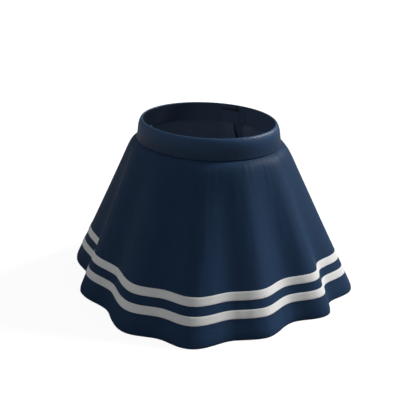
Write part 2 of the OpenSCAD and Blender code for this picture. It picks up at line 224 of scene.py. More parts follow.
def columns(stretch, u, count, back_edge):
    """Angles of the columns at each u. back_edge is how far the centre back edge stays from the middle, at each u."""
    first, last = stretch
    u = np.asarray(u, float)
    start = 180 - angle_at(u, back_edge) if first == 90 else np.full_like(u, first) + SEAM_EDGE / per_degree(first, u)
    end = angle_at(u, back_edge) if last == 90 else np.full_like(u, last) - SEAM_EDGE / per_degree(last, u)
    steps_in = SEAM_STEPS[None, :] / per_degree(start, u)[:, None]
    steps_out = SEAM_STEPS[None, ::-1] / per_degree(end, u)[:, None]
    inner = np.linspace(0, 1, count + 2)[1:-1][None, :]
    a0, a1 = start[:, None] + steps_in, end[:, None] - steps_out
    return np.hstack([a0, mix(a0[:, -1:], a1[:, :1], inner), a1])


def seam_dip(columns_count, depth=0.55, width=1.1):
    """The cloth's dip into the seam at both ends of a row of columns."""
    dip = -depth * np.exp(-((SEAM_STEPS / width) ** 2))
    row = np.zeros(columns_count)
    row[: len(dip)] += dip
    row[-len(dip):] += dip[::-1]
    return row[None, :]


def zip_edge(u):
    """The centre back edge of a back panel: along the zip, then in to the seam."""
    return mix(ZIP_EDGE, SEAM_EDGE, ease((u - ZIP_END + 0.028) / 0.03))


# Making meshes

def steps(line):
    """Distances from each point of a line to the next."""
    return np.linalg.norm(np.diff(line, axis=0), axis=1)


def length_of(line):
    return float(steps(line).sum())


def run_along(line):
    """The distance along a line of each of its points."""
    return np.concatenate([[0], np.cumsum(steps(line))])


def grid_faces(rows, cols, closed=False):
    r = np.arange(rows - 1)[:, None]
    c = np.arange(cols if closed else cols - 1)[None, :]
    d = (c + 1) % cols
    quads = np.stack([r * cols + c, (r + 1) * cols + c, (r + 1) * cols + d, r * cols + d], -1)
    return quads.reshape(-1, 4)


def strip_uv(points):
    """Lengths along the middle row and the middle column, so that a weave keeps its scale."""
    u = run_along(points[len(points) // 2])
    v = run_along(points[:, points.shape[1] // 2])
    return np.stack(np.broadcast_arrays(u[None, :], -v[:, None]), -1)


def make(name, points, faces, material, uv=None, body=SKIRT, slot=None, nodes=()):
    """A mesh piece that rides on a body. points are in millimetres."""
    points = np.asarray(points, float).reshape(-1, 3) * MM
    mesh = bpy.data.meshes.new(name)
    mesh.from_pydata(points.tolist(), [], [list(map(int, f)) for f in faces])
    mesh.polygons.foreach_set("use_smooth", [True] * len(mesh.polygons))
    if uv is not None:
        layer = mesh.uv_layers.new(name="cloth")
        corner = np.zeros(len(mesh.loops), np.int32)
        mesh.loops.foreach_get("vertex_index", corner)
        layer.data.foreach_set("uv", (np.asarray(uv).reshape(-1, 2)[corner] * MM).astype(np.float32).ravel())
    mesh.update()
    piece = bpy.data.objects.new(name, mesh)
    bpy.context.scene.collection.objects.link(piece)
    piece.data.materials.append(material)
    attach(piece, body)
    if nodes:
        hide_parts(*nodes)
    return piece


INWARDS, BOTH_WAYS = -1, 0


def cloth(name, points, material, thickness, uv=None, grows=INWARDS, **kept):
    """A layer of cloth from a grid of points, rows from the top down, angles rising along each row."""
    rows, cols = points.shape[:2]
    piece = make(name, points, grid_faces(rows, cols), material, strip_uv(points) if uv is None else uv, **kept)
    solid = piece.modifiers.new("thickness", "SOLIDIFY")
    solid.thickness = thickness * MM
    solid.offset = grows
    return piece


# Materials

def link_or_set(tree, socket, value):
    if isinstance(value, bpy.types.NodeSocket):
        tree.links.new(value, socket)
    elif value is not None:
        socket.default_value = value


def add(tree, kind, inputs=None, **settings):
    node = tree.nodes.new("ShaderNode" + kind)
    for key, value in settings.items():
        setattr(node, key, value)
    for key, value in (inputs or {}).items():
        link_or_set(tree, node.inputs[key], value)
    return node


def calc(tree, operation, a, b=None):
    return add(tree, "Math", {0: a, 1: b}, operation=operation).outputs[0]


def map_range(tree, value, low, high, at_low, at_high):
    """Takes a value from between low and high to between at_low and at_high."""
    spans = {0: value, 1: low, 2: high, 3: at_low, 4: at_high}
    return add(tree, "MapRange", spans).outputs[0]


def surface(name, roughness, metallic=0.0, sheen=0.0, specular=0.5, coat=0.0):
    material = bpy.data.materials.new(name)
    material.use_nodes = True
    tree = material.node_tree
    shader = tree.nodes["Principled BSDF"]
    shader.inputs["Roughness"].default_value = roughness
    shader.inputs["Metallic"].default_value = metallic
    shader.inputs["Sheen Weight"].default_value = sheen
    shader.inputs["Specular IOR Level"].default_value = specular
    shader.inputs["Coat Weight"].default_value = coat
    return material, tree, shader


def cloth_mm(tree):
    """The cloth's own coordinates in millimetres: along and up."""
    uv = add(tree, "UVMap", uv_map="cloth").outputs["UV"]
    parts = add(tree, "SeparateXYZ", {0: uv})
    return [calc(tree, "MULTIPLY", parts.outputs[k], 1000.0) for k in range(2)], uv


def colour_mix(tree, factor, a, b):
    node = add(tree, "Mix", {0: factor}, data_type="RGBA")
    link_or_set(tree, node.inputs[6], a)
    link_or_set(tree, node.inputs[7], b)
    return node.outputs[2]


def patchy(tree, colour, vector, scale, spread):
    """The colour, a little lighter and darker in soft patches."""
    patches = add(tree, "TexNoise", {"Vector": vector, "Scale": scale, "Detail": 3.0}).outputs["Fac"]
    low = [c * (1 - spread) for c in colour] + [1]
    high = [min(1, c * (1 + spread)) for c in colour] + [1]
    return colour_mix(tree, patches, low, high)


def bump(tree, shader, height, strength, relief_mm):
    node = add(tree, "Bump", {"Height": height, "Strength": strength, "Distance": relief_mm * MM})
    tree.links.new(node.outputs["Normal"], shader.inputs["Normal"])


def thread_look(tree, shader, base, shade, height, relief_mm):
    """The base colour, shaded between the threads, and the threads' relief."""
    shaded = add(tree, "VectorMath", {0: base, 1: shade}, operation="MULTIPLY").outputs[0]
    tree.links.new(shaded, shader.inputs["Base Color"])
    bump(tree, shader, height, 0.5, relief_mm)


def knit(name, colour, roughness=0.5, specular=0.5, wale=1.0, course=0.8, relief_mm=0.10, painted_shading_up=None):
    """Knitted cloth: columns of V-shaped loops. painted_shading_up is (from, to, shade there, shade here) up the
    cloth:
    painted light and painted shade, the colour's brightness changing from one height to the other."""
    material, tree, shader = surface(name, roughness, specular=specular)
    (x, y), uv = cloth_mm(tree)
    across = calc(tree, "DIVIDE", x, wale)
    side = calc(tree, "ABSOLUTE", calc(tree, "SUBTRACT", calc(tree, "FRACT", across), 0.5))
    slant = calc(tree, "ADD", calc(tree, "DIVIDE", y, course), side)
    loops = calc(tree, "SINE", calc(tree, "MULTIPLY", slant, 2 * math.pi))
    groove = calc(tree, "COSINE", calc(tree, "MULTIPLY", side, 2 * math.pi))
    height = calc(tree, "ADD", calc(tree, "MULTIPLY", loops, 0.35), calc(tree, "MULTIPLY", groove, -0.5))
    base = patchy(tree, colour, uv, 24.0, 0.08)
    shade = map_range(tree, height, -0.85, 0.85, 0.78, 1.1)
    # Painted light and painted shade: the colour brighter or darker up the cloth.
    if painted_shading_up:
        shade = calc(tree, "MULTIPLY", shade, map_range(tree, y, *painted_shading_up))
    thread_look(tree, shader, base, shade, height, relief_mm)
    return material


def woven(name, colour, thread=0.5, roughness=0.7, specular=0.3, relief_mm=0.08, twill=0.0, painted_shading_along=None):
    """Woven cloth: threads over and under, slanting into a twill where twill is above 0. painted_shading_along is
    (place, near, far, shade near, shade far) along the cloth: painted shade and painted light, which change with the
    distance from the place."""
    material, tree, shader = surface(name, roughness, specular=specular)
    (x, y), uv = cloth_mm(tree)
    turn = math.pi / thread
    slid = calc(tree, "ADD", x, calc(tree, "MULTIPLY", y, twill))
    warp = calc(tree, "SINE", calc(tree, "MULTIPLY", slid, turn))
    weft = calc(tree, "SINE", calc(tree, "MULTIPLY", y, turn))
    height = calc(tree, "MULTIPLY", warp, weft)
    base = patchy(tree, colour, uv, 30.0, 0.06)
    shade = map_range(tree, height, -1.0, 1.0, 0.85, 1.05)
    # Painted shade and painted light along the cloth, by the distance from one place.
    if painted_shading_along:
        away = calc(tree, "ABSOLUTE", calc(tree, "SUBTRACT", x, painted_shading_along[0]))
        shade = calc(tree, "MULTIPLY", shade, map_range(tree, away, *painted_shading_along[1:]))
    thread_look(tree, shader, base, shade, height, relief_mm)
    return material


def braid(name, colour, row=2.4, plaits_per_mm=5.2 / (2 * math.pi)):
    """Flat braid: slanted plaits in narrow rows along its length."""
    material, tree, shader = surface(name, 0.6, sheen=0.15)
    (x, y), uv = cloth_mm(tree)
    rows = calc(tree, "COSINE", calc(tree, "MULTIPLY", y, 2 * math.pi / row))
    zigzag = calc(tree, "ABSOLUTE", calc(tree, "SUBTRACT", calc(tree, "FRACT", calc(tree, "DIVIDE", y, row)), 0.5))
    slid = calc(tree, "ADD", x, calc(tree, "MULTIPLY", zigzag, row))
    plait = calc(tree, "SINE", calc(tree, "MULTIPLY", slid, 2 * math.pi * plaits_per_mm))
    height = calc(tree, "ADD", calc(tree, "MULTIPLY", rows, 0.4), calc(tree, "MULTIPLY", plait, 0.35))
    base = patchy(tree, colour, uv, 40.0, 0.03)
    shade = map_range(tree, height, -0.75, 0.75, 0.88, 1.03)
    thread_look(tree, shader, base, shade, height, 0.15)
    return material


def plain(name, colour, roughness, metallic=0.0, spread=0.05, grain=900.0, coat=0.0, sheen=0.0):
    """Thread, plastic and metal: a fine grain over soft patches of colour."""
    material, tree, shader = surface(name, roughness, metallic=metallic, coat=coat, sheen=sheen)
    place = add(tree, "TexCoord").outputs["Object"]
    tree.links.new(patchy(tree, colour, place, 160.0, spread), shader.inputs["Base Color"])
    noise = add(tree, "TexNoise", {"Vector": place, "Scale": grain, "Detail": 2.0}).outputs["Fac"]
    rough = map_range(tree, noise, 0.0, 1.0, roughness * 0.85, min(1.0, roughness * 1.15))
    tree.links.new(rough, shader.inputs["Roughness"])
    bump(tree, shader, noise, 0.15, 0.05)
    return material


NAVY = (0.017, 0.044, 0.101)
INK = (0.024, 0.036, 0.062)
SLATE = (0.05, 0.075, 0.125)
WHITE = (0.87, 0.87, 0.87)

panel_knit = knit("navy_double_knit", NAVY, roughness=0.5, specular=0.11)
# The waistband's colour has painted light towards its rolled top and painted shade towards its seam.
band_knit = knit("navy_waistband_knit", NAVY, roughness=0.36, specular=0.3, wale=0.9, course=0.7,
                 painted_shading_up=(-38.0, -12.0, 1.6, 0.85))
white_braid = braid("white_braid", WHITE)
white_thread = plain("white_thread", (0.80, 0.80, 0.78), 0.6, sheen=0.1)
navy_thread = plain("navy_thread", (0.022, 0.048, 0.105), 0.5)
tricot = knit("dark_tricot", SLATE, roughness=0.6, specular=0.15, wale=0.6, course=0.5, relief_mm=0.05)
facing_weave = woven("dark_facing", INK, thread=0.5, twill=0.5, specular=0.12)
# The band's inner facing has painted shade near 180 mm along the band, inside the side wall that the key light falls
# on, and painted light further along; the underlap and zip guard, far from that place, get the painted light all over.
band_facing = woven("dark_band_facing", INK, thread=0.5, roughness=0.9, twill=0.5, specular=0.0,
                    painted_shading_along=(180.0, 10.0, 110.0, 0.45, 1.6))
elastic_weave = woven("white_elastic", (0.70, 0.70, 0.68), thread=1.0)
tape_weave = woven("navy_zip_tape", (0.016, 0.032, 0.066), thread=0.6, twill=1.0)
ribbon_satin = woven("dark_satin", INK, thread=0.3, roughness=0.35, relief_mm=0.03)
label_satin = woven("white_label_satin", WHITE, thread=0.3, roughness=0.45, relief_mm=0.03)
coil_nylon = plain("navy_nylon", (0.020, 0.045, 0.095), 0.3, coat=0.2)
enamel = plain("navy_enamel", (0.020, 0.040, 0.080), 0.32, metallic=0.3, coat=0.4, grain=600.0)
nickel = plain("nickel", (0.62, 0.62, 0.62), 0.25, metallic=1.0, spread=0.03)


# Stitches: short arched threads along a path

STITCH_RINGS, STITCH_SIDES = 6, 6
TOPSTITCH = (3.0, 2.2)  # pitch and length


def stitches(name, path, normals, pitch, length, radius, material, body=SKIRT, slot=None):
    """A row of stitches along a path on cloth. Each dips into the cloth at both ends."""
    run = run_along(path)
    starts = np.arange((pitch - length) / 2, run[-1] - length, pitch)
    along = np.linspace(0, 1, STITCH_RINGS)
    arch = np.sin(np.pi * along)
    places = starts[:, None] + along * length
    centre = np.stack([np.interp(places, run, path[:, k]) for k in range(3)], -1)
    up = np.stack([np.interp(places, run, normals[:, k]) for k in range(3)], -1)
    up /= np.linalg.norm(up, axis=-1, keepdims=True)
    centre = centre + up * (radius * (1.5 * arch - 0.9))[:, None]
    ahead = np.gradient(centre, axis=1)
    side = np.cross(ahead, up)
    side /= np.linalg.norm(side, axis=-1, keepdims=True)
    ring = np.linspace(0, 2 * np.pi, STITCH_SIDES, endpoint=False)
    round_it = side[:, :, None] * np.cos(ring)[:, None] + up[:, :, None] * np.sin(ring)[:, None]
    points = centre[:, :, None] + round_it * (radius * (0.5 + 0.5 * arch))[:, None, None]
    faces = grid_faces(STITCH_RINGS, STITCH_SIDES, closed=True)
    size = STITCH_RINGS * STITCH_SIDES
    faces = (faces[None] + (np.arange(len(starts)) * size)[:, None, None]).reshape(-1, 4).tolist()
    for first in range(0, len(starts) * size, size):
        faces.append(list(range(first, first + STITCH_SIDES)))
        faces.append(list(range(first + size - 1, first + size - 1 - STITCH_SIDES, -1)))
    return make(name, points, faces, material, body=body, slot=slot)


def tube(name, path, radius, material, sides=8, **kept):
    """A round thread along an open path."""
    ahead = np.gradient(path, axis=0)
    ahead /= np.linalg.norm(ahead, axis=1, keepdims=True)
    side = np.cross(ahead, (0.31, 0.52, 0.79))
    side /= np.linalg.norm(side, axis=1, keepdims=True)
    up = np.cross(side, ahead)
    ring = np.linspace(0, 2 * np.pi, sides, endpoint=False)
    points = path[:, None] + radius * (side[:, None] * np.cos(ring)[:, None] + up[:, None] * np.sin(ring)[:, None])
    faces = grid_faces(len(path), sides, closed=True).tolist()
    faces.append(list(range(sides)))
    faces.append(list(range(len(path) * sides - 1, (len(path) - 1) * sides - 1, -1)))
    return make(name, points, faces, material, **kept)


def soften(piece, width):
    """Rounds a piece's sharp edges."""
    edge = piece.modifiers.new("round", "BEVEL")
    edge.width = width * MM
    edge.segments = 3
    edge.limit_method = "ANGLE"
    edge.angle_limit = math.radians(50)


def inside_normals(points):
    """Inward level directions at points round the skirt."""
    n = points - np.array([-MIDDLE[0], -MIDDLE[1], 0])
    n[..., 2] = 0
    return -n / np.linalg.norm(n, axis=-1, keepdims=True)


def around(stretch, step=0.5, inset=0.6):
    return np.arange(stretch[0] + inset, stretch[1] - inset, step)


# Flat cut of the skirt: a ring sector whose inner and outer arcs are the waist seam and the hem

def round_length(u):
    return length_of(skin(np.arange(0, 361, 1.0), u))


SLANT = float(np.linalg.norm(skin(250.0, 1.0) - skin(250.0, 0.0)))
CUT_INNER = round_length(0.0) * SLANT / (round_length(1.0) - round_length(0.0))
CUT_TURN = round_length(0.0) / CUT_INNER


def cut_uv(a, u):
    """Where a point of a panel lies on its flat cut."""
    turn = np.radians(a) * CUT_TURN / (2 * math.pi)
    out = CUT_INNER + u * SLANT
    return np.stack([out * np.sin(turn), -out * np.cos(turn)], -1)


# Panels: the cloth runs down to the hem, round its fold and a little way up inside

PANEL_T = 0.9
FOLD_R = 1.3
TURN_UP = 8.0
panel_rows = [(u, 0.0) for u in np.concatenate([
    np.linspace(-ALLOWANCE, 0, 4) / SKIRT_H, np.array([1, 2, 3.2, 4.6, 6.4, 8.6, 11.2, 14.4, 18.2]) / SKIRT_H,
    np.linspace(22.5, SKIRT_H - FOLD_R, 64) / SKIRT_H])]
for turn in np.linspace(0, math.pi, 9)[1:]:
    panel_rows.append((1 - FOLD_R * (1 - math.sin(turn)) / SKIRT_H, FOLD_R * (math.cos(turn) - 1)))
for rise in (3.0, 5.5, TURN_UP):
    panel_rows.append((1 - rise / SKIRT_H, -2 * FOLD_R))


def make_panel(name, stretch):
    u = np.array([r[0] for r in panel_rows])
    off = np.array([r[1] for r in panel_rows])[:, None]
    a = columns(stretch, u, OUTER_COLUMNS[stretch], zip_edge(u))
    u = np.broadcast_to(u[:, None], a.shape)
    dip = seam_dip(a.shape[1])
    points = skin(a, u, roll(u) + off) + out_of_cloth(a, u) * (relief(a, u) + dip)[..., None]
    piece = cloth(name + "_knit", points, panel_knit, PANEL_T, uv=cut_uv(a, u), slot="panel_knit", nodes=[name])


make_panel("front_panel", FRONT)
make_panel("back_panel_left", LEFT)
make_panel("back_panel_right", RIGHT)


# Braid rows, sewn to the panels along both edges

BRAID_LIFT = 0.75
BRAID_T = 0.5
BRAID_ROWS = (("lower", STRIPE_RISE), ("upper", STRIPE_RISE + STRIPE_H + STRIPE_GAP))
SEWN_SHARES = (0.13, 0.87)
SEWN_DIP = 0.16
BRAID_RIBS = 5


def make_stripe(name, rise, stretch):
    across = np.concatenate([[0, 0.02, 0.05], np.linspace(0.1, 0.9, 17), [0.95, 0.98, 1]])
    u = 1 - (rise + STRIPE_H * (1 - across)) / SKIRT_H
    a = columns(stretch, u, OUTER_COLUMNS[stretch], np.full_like(u, SEAM_EDGE))
    rounded = np.sqrt(np.clip(1 - np.abs(2 * across - 1) ** 8, 0, 1))
    stitched = -SEWN_DIP * sum(np.exp(-((across - share) / 0.035) ** 2) for share in SEWN_SHARES)
    ribs = 0.05 * np.cos(2 * math.pi * BRAID_RIBS * across)
    lift = 0.1 + (BRAID_LIFT - 0.1) * rounded + stitched + ribs * rounded
    points = face(a, u[:, None], lift[:, None] + seam_dip(a.shape[1], depth=0.3))
    piece = cloth(name + "_braid", points, white_braid, BRAID_T, slot="braid_white", nodes=[name])


for row, rise in BRAID_ROWS:
    for part, stretch in STRETCHES.items():
        make_stripe(f"{row}_stripe_{part}", rise, stretch)


# Waistband: one strip, turned in along its lower edges and folded over the elastic

BAND_T = 0.5
band_path = [  # offset and height of the strip's right side, from the turned edge outside to the one inside
    (-0.36, 6), (-0.3, 3.5), (-0.15, 2), (0, 1.2), (0.15, 0.6), (0.4, 0.15), (0.75, 0.02), (1.1, 0.15),
    (1.35, 0.5), (1.42, 1.1), (1.32, 2.2), (1.08, 3.8), (0.82, 5.8), (0.63, 8), (0.54, 10.6), (0.54, 13.2),
    (0.57, 15.8), (0.52, 18.3), (0.37, 20.8), (0.1, 23.1), (-0.3, 25.2), (-0.82, 27.1), (-1.45, 28.8),
    (-2.15, 30.2), (-2.9, 31.2), (-3.7, 31.8), (-4.5, 31.85), (-5.1, 31.3), (-5.5, 30.2), (-5.7, 28.4),
    (-5.75, 25.5), (-5.7, 21), (-5.7, 15), (-5.7, 9), (-5.7, 3.4), (-5.6, 1.5), (-5.35, 0.6), (-4.95, 0.25),
    (-4.6, 0.6), (-4.45, 1.5), (-4.45, 4),
]
BAND_MIDDLE = -2.0
BAND_END = 0.2
BAND_TOP_ROW, BAND_STITCH_ROW, BAND_FACE_ROW = 26, 11, 16


def make_band():
    path = np.array(band_path)
    ends = np.array([0, 0.25, 0.6, 1.1, 1.9])
    a = np.concatenate([90 + BAND_END + ends, np.linspace(93, 447, 300), 450 - BAND_END - ends[::-1]])
    from_end = np.minimum(a - 90 - BAND_END, 450 - BAND_END - a) * 2.0
    closing = np.sqrt(np.clip(1 - (1 - np.clip(from_end / 2.2, 0, 1)) ** 2, 0.02, 1))[None, :]
    off, h = path[:, :1], path[:, 1:]
    off = BAND_MIDDLE + (off - BAND_MIDDLE) * closing
    pinch = 0.5 * np.exp(-((h - 3) / 4) ** 2) + 0.2
    sewn = 0.12 * np.exp(-((h - path[BAND_STITCH_ROW, 1]) / 0.9) ** 2)
    outwards = np.clip((off - BAND_MIDDLE) / 1.5, -0.5, 1)
    off = off + (band_puckers(a[None, :], h / 40) * pinch - sewn) * outwards
    points = band_point(a[None, :], h, off)
    piece = cloth("waistband_knit", points, band_knit, BAND_T, slot="waistband_knit", nodes=["waistband"])
    piece.data.materials.append(band_facing)
    inside = (len(a) - 1) * (BAND_TOP_ROW + 1)
    piece.data.polygons.foreach_set("material_index", [int(k >= inside) for k in range(len(piece.data.polygons))])
    stitched = points[BAND_STITCH_ROW, 6:-6]
    stitches("waistband_stitches", stitched, -inside_normals(stitched), *TOPSTITCH, 0.16, navy_thread,
             slot="waistband_knit")


make_band()


# Rows of stitches on the braid and the hem

HEM_SEAMS = (6.5, 22.5)

for row, rise in BRAID_ROWS:
    for part, stretch in STRETCHES.items():
        a = around(stretch)
        for edge, share in zip(("low", "high"), SEWN_SHARES):
            u = 1 - (rise + STRIPE_H * share) / SKIRT_H
            path = face(a, u, BRAID_LIFT - SEWN_DIP)
            stitches(f"{row}_stripe_{part}_{edge}_stitches", path, out_of_cloth(a, u), *TOPSTITCH, 0.17,
                     white_thread, slot="braid_white")

for part, stretch in STRETCHES.items():
    a = around(stretch)
    for edge, rise in zip(("low", "high"), HEM_SEAMS):
        u = 1 - rise / SKIRT_H
        stitches(f"hem_{part}_{edge}_stitches", face(a, u), out_of_cloth(a, u), *TOPSTITCH, 0.15, navy_thread,
                 slot="panel_knit")


# Hem facing: covers the hem's turned-up edge, inside

FACING_H = 24.0
FACING_T = 0.6


def make_facing(name, stretch):
    rise = np.concatenate([[FACING_H, FACING_H - 0.3, FACING_H - 1], np.linspace(22, 13, 7), np.linspace(11.5, 4.5, 9),
                           [3.6, 3.2]])
    u = 1 - rise / SKIRT_H
    over = ease((TURN_UP + 2.5 - rise) / 3.0)
    off = roll(u) - 1.35 - 1.55 * over
    off[:2] += (-0.35, -0.1)
    off[-1] += 0.35
    a = columns(stretch, u, INNER_COLUMNS[stretch], np.full_like(u, SEAM_EDGE))
    u, off = u[:, None], off[:, None]
    wave = relief(a, u) + seam_dip(a.shape[1], depth=0.25)
    piece = cloth(name + "_tape", skin(a, u, off + wave), facing_weave, FACING_T, slot="hem_binding", nodes=[name])
    length = round_length(1 - FACING_H / 2 / SKIRT_H) * (stretch[1] - stretch[0]) / 360


for part, stretch in STRETCHES.items():
    make_facing("hem_facing_" + part, stretch)


# Half lining: hangs inside from the waist seam, slit over the zip, with a turned hem

LINING_T = 0.5
LINING_HEM = 12.0


def lining_face(a, u, lift=0.0):
    off = LINING_IN - LINING_EASE * ease(u / 0.06) + lift
    swing = np.clip(u / 0.7, 0, 1) ** 1.5
    off = off + (lining_folds(a, u) * 2.2 - 1.6) * swing + fine_folds(a, u) * np.clip(u / 0.05, 0, 1)
    return skin(a, u, off, LINING_FLAT, VALLEY_REACH)


def make_lining(name, stretch):
    slit_end = ZIP_END + 0.02
    u = np.concatenate([np.linspace(-ALLOWANCE / SKIRT_H, 0, 4)[:-1], np.linspace(0, LINING_SHARE, 56)])
    edge = mix(LINING_SLIT, SEAM_EDGE, ease((u - slit_end + 0.02) / 0.02))
    fold = [(LINING_SHARE, -0.3), (LINING_SHARE - 0.001, -0.9), (LINING_SHARE - 0.012, -1.05),
            (LINING_SHARE - LINING_HEM / SKIRT_H, -1.05)]
    u = np.concatenate([u, [f[0] for f in fold]])
    edge = np.concatenate([edge, np.full(len(fold), SEAM_EDGE)])
    lift = np.concatenate([np.zeros(len(u) - len(fold)), [f[1] for f in fold]])[:, None]
    a = columns(stretch, u, INNER_COLUMNS[stretch], edge)
    points = lining_face(a, u[:, None], lift + seam_dip(a.shape[1], depth=0.3))
    piece = cloth(name + "_cloth", points, tricot, LINING_T, slot="lining_tricot", nodes=[name])


for part, stretch in STRETCHES.items():
    make_lining("lining_" + part, stretch)
    a = around(stretch)
    u = LINING_SHARE - (LINING_HEM - 2) / SKIRT_H
    path = lining_face(a, u, -1.55)
    stitches(f"lining_{part}_hem_stitches", path, inside_normals(path), 3.2, 2.3, 0.13, navy_thread,
             slot="lining_tricot")


# Waist elastic, inside the folded band

ELASTIC_TOP, ELASTIC_BOTTOM = 22.5, 1.5


def make_elastic():
    h = np.linspace(ELASTIC_TOP, ELASTIC_BOTTOM, 43)[:, None]
    a = np.linspace(90 + BAND_END, 450 - BAND_END, 240)[None, :]
    ribs = 0.12 * np.cos(2 * math.pi * h / 2.0)
    points = band_point(a, h, -2.1 + ribs)
    piece = cloth("waist_elastic_strip", points, elastic_weave, 1.4, slot="elastic_white", nodes=["waistband_elastic"])


make_elastic()


# Underlap: a padded tab behind the band's ends

UNDERLAP = (16.0, -30.0)
UNDERLAP_SEAMS = (20.5, 3.5)


def make_underlap():
    x = np.linspace(UNDERLAP[0], UNDERLAP[1], 47)[None, :]
    h = np.concatenate([[23, 22.7, 22.2, 21.4], np.linspace(20, 4, 14), [2.6, 1.8, 1.3, 1.0]])[:, None]
    off = mix(-5.8, -8.5, ease((10 - x) / 8))
    a = np.degrees(np.arccos(x / WAIST[0]))
    tucked = 0.14 * sum(np.exp(-((h - seam) / 0.8) ** 2) for seam in UNDERLAP_SEAMS)
    points = band_point(a, h, off - tucked)
    piece = cloth("underlap_facing", points, band_facing, 1.15, slot="hem_binding", nodes=["waistband_underlap"])
    soften(piece, 0.5)
    for edge, seam in zip(("high", "low"), UNDERLAP_SEAMS):
        path = band_point(a[0, 6:-2], seam, off[0, 6:-2] - 1.25)
        stitches(f"underlap_{edge}_stitches", path, inside_normals(path), 2.6, 1.9, 0.14, navy_thread,
                 slot="hem_binding")


make_underlap()


# Zip: woven tapes with a nylon coil sewn to each

ZIP_AT = np.array([
    -MIDDLE[0],
    mix(WAIST[1] - SEAM_IN, HEM[1] * float(reach(90.0)), ZIP_TOP / SKIRT_H) - MIDDLE[1] - ZIP_IN,
    SKIRT_H - ZIP_TOP])


def zip_point(x, y, z):
    """A point in the zip's frame: across, out of the cloth and up the chain."""
    x, y, z = np.broadcast_arrays(np.asarray(x, float), np.asarray(y, float), np.asarray(z, float))
    c, s = math.cos(ZIP_SLOPE), math.sin(ZIP_SLOPE)
    return np.stack([x, y * c - z * s, y * s + z * c], -1) + ZIP_AT


ZIP_OUT = np.array([0, math.cos(ZIP_SLOPE), math.sin(ZIP_SLOPE)])
COIL_TURNS, COIL_PITCH, COIL_R = 84, 1.5, 0.40
TAPE_EDGE = 2.55


def make_zip_side(side, name):
    x = np.concatenate([[TAPE_EDGE, 2.8, 3.2], np.linspace(3.8, TAPE_W - 0.7, 12), [TAPE_W - 0.3, TAPE_W]])
    x = x[::-1] if side > 0 else x
    u = np.linspace(0.005, ZIP_END + 0.02, 60)[:, None]
    a = angle_at(u, x[None, :])
    a = a if side > 0 else 180 - a
    cord_edge = 0.12 * np.exp(-((x - 3.4) / 0.5) ** 2)
    points = skin(a, u, -ZIP_IN + 0.22 + cord_edge[None, :])
    tape = cloth(f"zip_tape_{name}_weave", points, tape_weave, 0.45, slot="zip_tape", nodes=[f"zip_tape_{name}"])

    turns = np.linspace(0, COIL_TURNS, COIL_TURNS * 12 + 1)
    round_ = 2 * math.pi * turns
    start = -STOP_H - 1.1 - (0 if side > 0 else COIL_PITCH / 2)
    across = side * (1.66 - 0.78 * np.cos(round_))
    out = 0.66 * np.sin(round_)
    path = zip_point(across, out, start - COIL_PITCH * turns)
    tube(f"zip_coil_{name}", path, COIL_R, coil_nylon, slot="zip_teeth", nodes=[f"zip_teeth_{name}"])
    z = np.linspace(-2, -ZIP_LEN, 200)
    sewn = zip_point(side * 3.15, 0.38, z)
    stitches(f"zip_coil_{name}_stitches", sewn, np.broadcast_to(ZIP_OUT, sewn.shape), 2.8, 2.0, 0.16, navy_thread,
             slot="zip_tape")


make_zip_side(1, "left")
make_zip_side(-1, "right")


# Zip guard: a strip behind the chain, sewn into the waist seam

GUARD_SEAM = 6.3


def make_zip_guard():
    x = np.concatenate([[8, 7.8, 7.3], np.linspace(6.5, -6.5, 14), [-7.3, -7.8, -8]])
    u = np.concatenate([[-0.004, -0.001, 0.002, 0.005, 0.008, 0.011, 0.015],
                        np.linspace(0.022, ZIP_END + 0.008, 48), [ZIP_END + 0.0105, ZIP_END + 0.012]])[:, None]
    off = -mix(3.1, 4.5, ease(u / 0.014)) - 0.12 * np.exp(-((np.abs(x) - GUARD_SEAM) / 0.6) ** 2)[None, :]
    points = skin(angle_at(u, x[None, :]), u, off)
    piece = cloth("zip_guard_facing", points, band_facing, 0.75, slot="hem_binding", nodes=["zip_guard"])
    soften(piece, 0.3)
    u = np.linspace(0.02, ZIP_END + 0.008, 160)
    for side, name in ((GUARD_SEAM, "left"), (-GUARD_SEAM, "right")):
        for level, way, face_name in ((-4.58, 1, "outer"), (-5.38, -1, "inner")):
            row = skin(angle_at(u, side), u, level)
            stitches(f"zip_guard_{name}_{face_name}_stitches", row, np.tile(ZIP_OUT * way, (len(u), 1)), 2.8, 2.0,
                     0.13, navy_thread, slot="hem_binding")


make_zip_guard()

for name, stretch in (("left", LEFT), ("right", RIGHT)):
    u = np.linspace(0.03, ZIP_END + 0.01, 200)
    a = angle_at(u, 7.5)
    a = a if name == "left" else 180 - a
    stitches(f"zip_opening_{name}_stitches", face(a, u), out_of_cloth(a, u), *TOPSTITCH, 0.15, navy_thread,
             slot="panel_knit")


# Hanger loops: ribbon folded in two, sewn inside the band at each side

loop_path = [  # inwards, up
    (-0.1, 0.3), (-0.1, -3), (-0.08, -20), (-0.02, -40), (0.04, -56), (0.2, -60.5), (0.65, -63.0), (1.3, -63.8),
    (1.95, -63.0), (2.3, -60.5), (2.38, -56), (1.9, -40), (1.25, -20), (0.58, -4), (0.46, -1.4),
]


def smooth_path(points, count):
    """A rounder path through points, by cubic pieces."""
    p = np.asarray(points, float)
    p = np.vstack([2 * p[0] - p[1], p, 2 * p[-1] - p[-2]])
    place = np.linspace(0, len(points) - 1.0001, count)
    i = place.astype(int)
    t = (place - i)[:, None]
    a, b, c, d = p[i], p[i + 1], p[i + 2], p[i + 3]
    return b + 0.5 * t * (c - a + t * (2 * a - 5 * b + 4 * c - d + t * (3 * (b - c) + d - a)))


